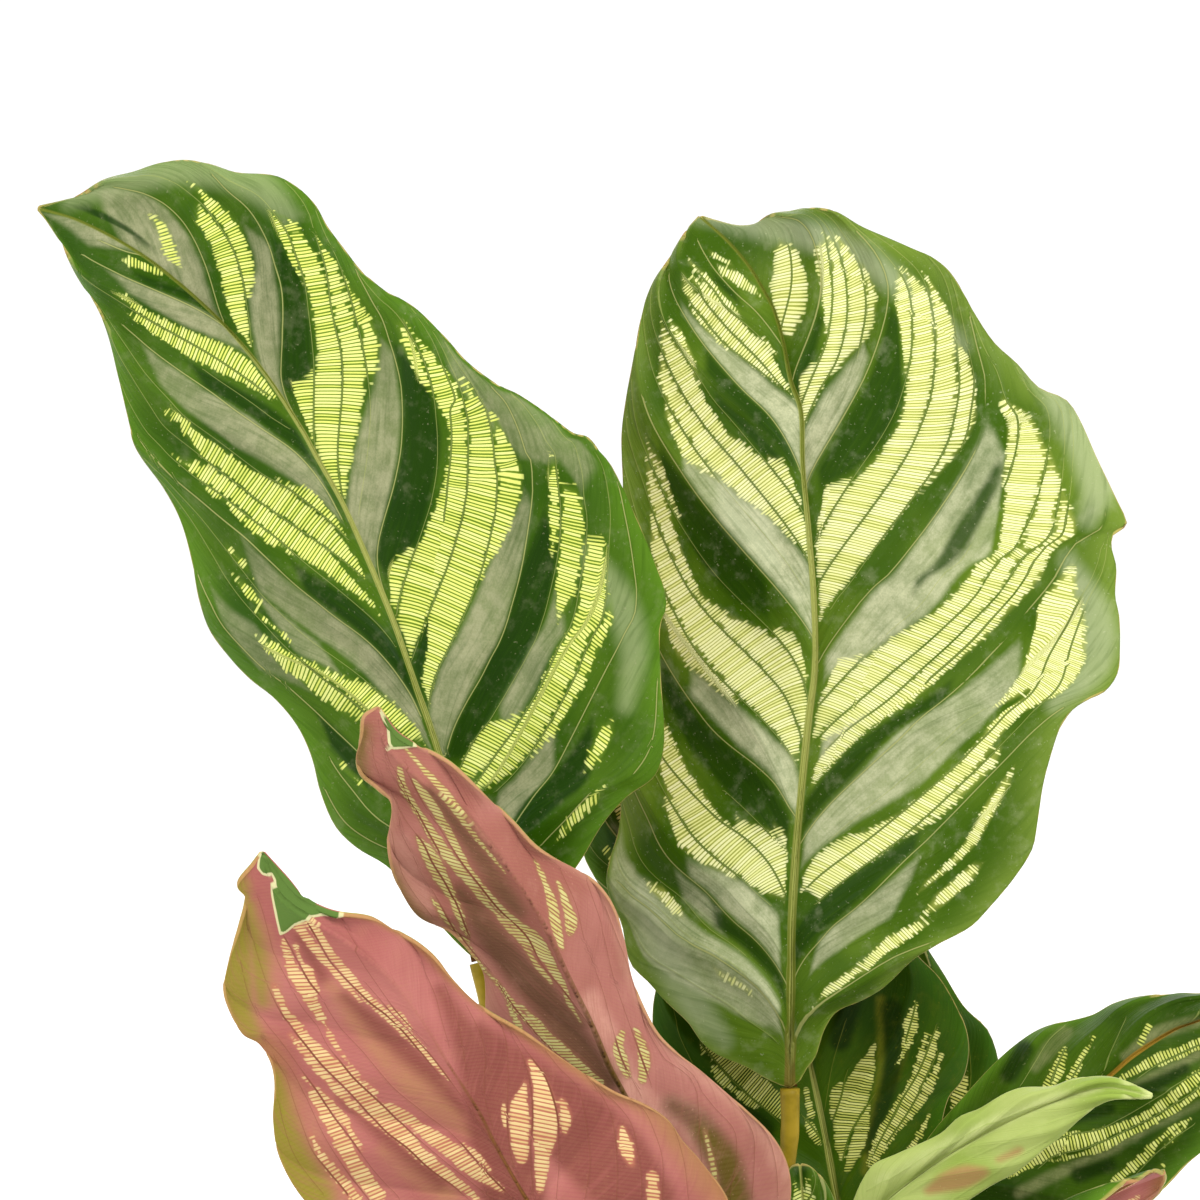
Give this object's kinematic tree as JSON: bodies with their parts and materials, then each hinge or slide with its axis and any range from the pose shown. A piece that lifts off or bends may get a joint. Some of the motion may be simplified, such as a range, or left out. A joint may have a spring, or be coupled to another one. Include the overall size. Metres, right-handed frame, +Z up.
{
  "type": "potted peacock plant",
  "caption": "Potted peacock plant: pleated, patterned oval leaves with rosy undersides on slender stalks, standing in soil in a round tapered clay pot.",
  "frame": {"origin": "middle of the pot's underside, the plane the plant stands on", "axes": "+Z up out of the pot, -Y towards the plant's front, the side the picture is taken from, +X to the right of that view"},
  "size_m": [0.2627, 0.2953, 0.3888],
  "materials": {
    "leaf": "satin",
    "leaf_underside": "satin",
    "young_leaf": "satin",
    "stalk": "satin",
    "soil": "matte",
    "clay": "matte"
  },
  "bodies": {
    "root": {"back_side_blade": "leaf", "back_side_stalk": "stalk", "behind_blade": "leaf", "behind_stalk": "stalk", "front_blade": "leaf", "front_left_blade": "leaf", "front_left_stalk": "stalk", "front_stalk": "stalk", "hidden_blade": "leaf", "hidden_stalk": "stalk", "left_back_blade": "leaf", "left_back_stalk": "stalk", "left_side_blade": "leaf", "left_side_stalk": "stalk", "low_front_blade": "leaf_underside", "low_front_stalk": "stalk", "lower_blade": "leaf", "lower_stalk": "stalk", "middle_blade": "leaf_underside", "middle_stalk": "stalk", "near_blade": "leaf", "near_stalk": "stalk", "pot": "clay", "right_back_blade": "leaf", "right_back_stalk": "stalk", "right_blade": "leaf", "right_stalk": "stalk", "rolled_leaf": "young_leaf", "small_blade": "leaf", "small_stalk": "stalk", "soil": "soil", "tall_left_blade": "leaf", "tall_left_stalk": "stalk", "tall_right_blade": "leaf", "tall_right_stalk": "stalk", "young_blade": "young_leaf", "young_stalk": "stalk"}
  },
  "joints": []
}
